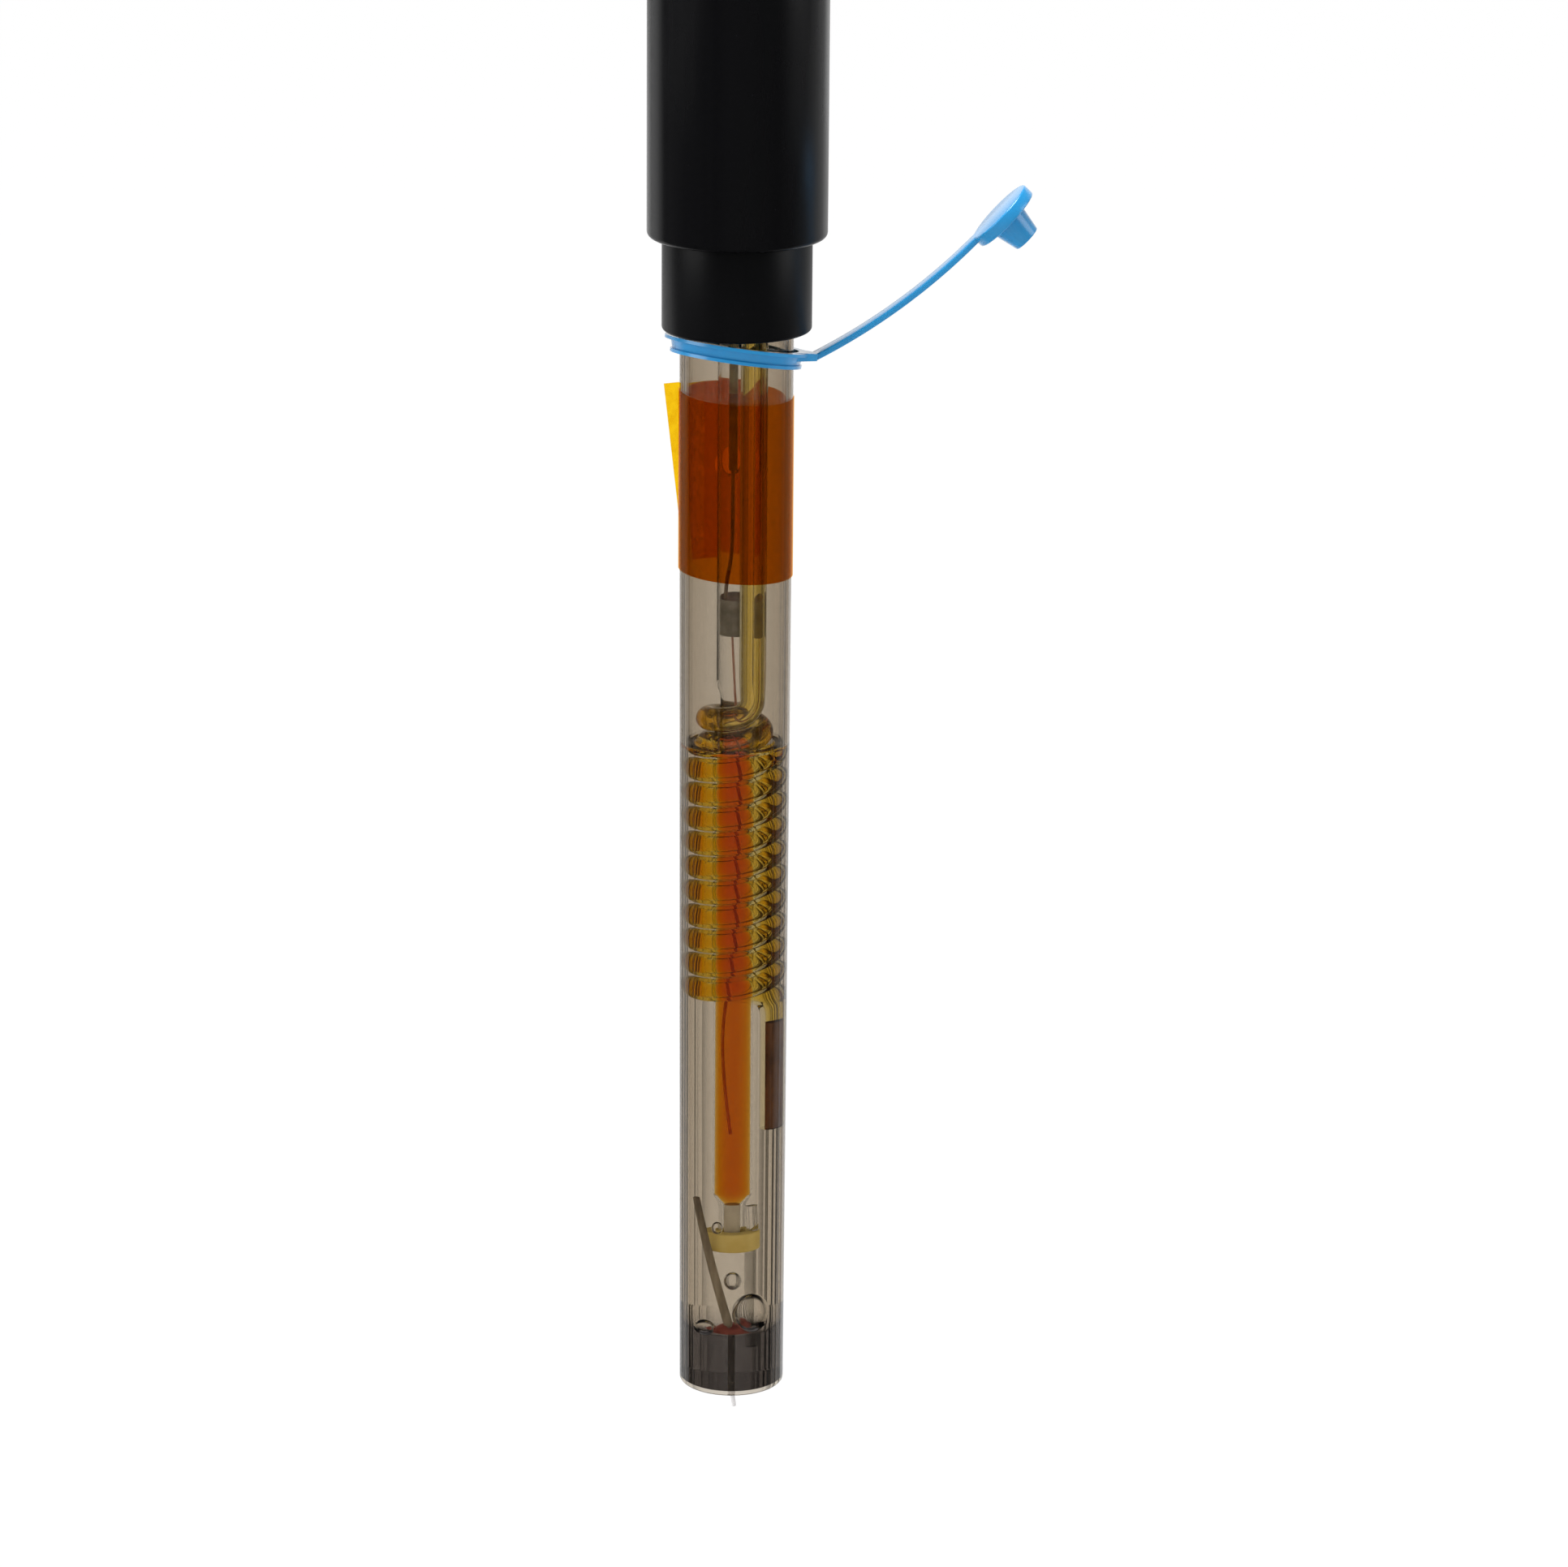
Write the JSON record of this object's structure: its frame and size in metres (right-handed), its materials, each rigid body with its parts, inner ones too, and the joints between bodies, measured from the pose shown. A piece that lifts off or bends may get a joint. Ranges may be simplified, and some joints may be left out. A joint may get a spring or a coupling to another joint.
{
  "type": "ph electrode",
  "caption": "Slim clear-bodied reference electrode with a black cap and collar, a coiled glass tube inside, a taped refill hole and a blue plug on a ring.",
  "frame": {"origin": "centre of the collar's underside, where the clear body enters the collar", "axes": "+Z runs along the electrode's axis up to the cable inlet; +X points the way the plug's strap leaves the ring; the refill hole is at the back, towards +Y"},
  "size_m": [0.0413, 0.0192, 0.1726],
  "materials": {
    "cap_black": "smooth moulded",
    "black_rubber": "moulded",
    "potting_resin": "cast",
    "splice_brass": "drawn",
    "collar_black": "satin",
    "seal_rubber": "moulded",
    "smoke_body": "clear, slightly smoked",
    "amber_film": "clear adhesive film",
    "blue_elastomer": "satin moulded",
    "stem_glass": "drawn",
    "grey_seal": "cast",
    "porous_white": "porous",
    "lead_silver": "drawn",
    "lead_sleeve": "extruded",
    "platinum": "drawn",
    "orange_filling": "liquid",
    "coil_glass": "drawn",
    "amber_filling": "liquid",
    "porous_brown": "porous",
    "cream_ceramic": "fired",
    "capillary_glass": "drawn",
    "rod_glass": "drawn",
    "wick_fibre": "twisted fibre",
    "bead_sealant": "cast",
    "tip_resin": "cast, slightly clear",
    "spacer_plastic": "moulded"
  },
  "bodies": {
    "root": {"cap_shell": "cap_black", "cable_grommet": "black_rubber", "cap_potting": "potting_resin", "splice_sleeve": "splice_brass", "collar": "collar_black", "collar_seal": "seal_rubber", "body_tube": "smoke_body", "fill_hole_tape": "amber_film", "stem_tube": "stem_glass", "stem_seal": "grey_seal", "neck_plug": "porous_white", "lead_wire": "lead_silver", "lead_sleeve": "lead_sleeve", "platinum_wire": "platinum", "redox_solution": "orange_filling", "coil_tube": "coil_glass", "coil_solution": "amber_filling", "coil_junction": "porous_brown", "junction_ring": "cream_ceramic", "bridge_capillary": "capillary_glass", "support_rod": "rod_glass", "wick": "wick_fibre", "tip_bead": "bead_sealant", "tip_plug": "tip_resin", "tube_spacer": "spacer_plastic"},
    "plug_ring": {"refill_plug": "blue_elastomer"}
  },
  "joints": [
    {"name": "plug_ring_turn", "type": "hinge", "parent": "root", "child": "plug_ring", "pos_m": [0, 0, 0], "axis": [0, 0, 1], "continuous": true}
  ]
}
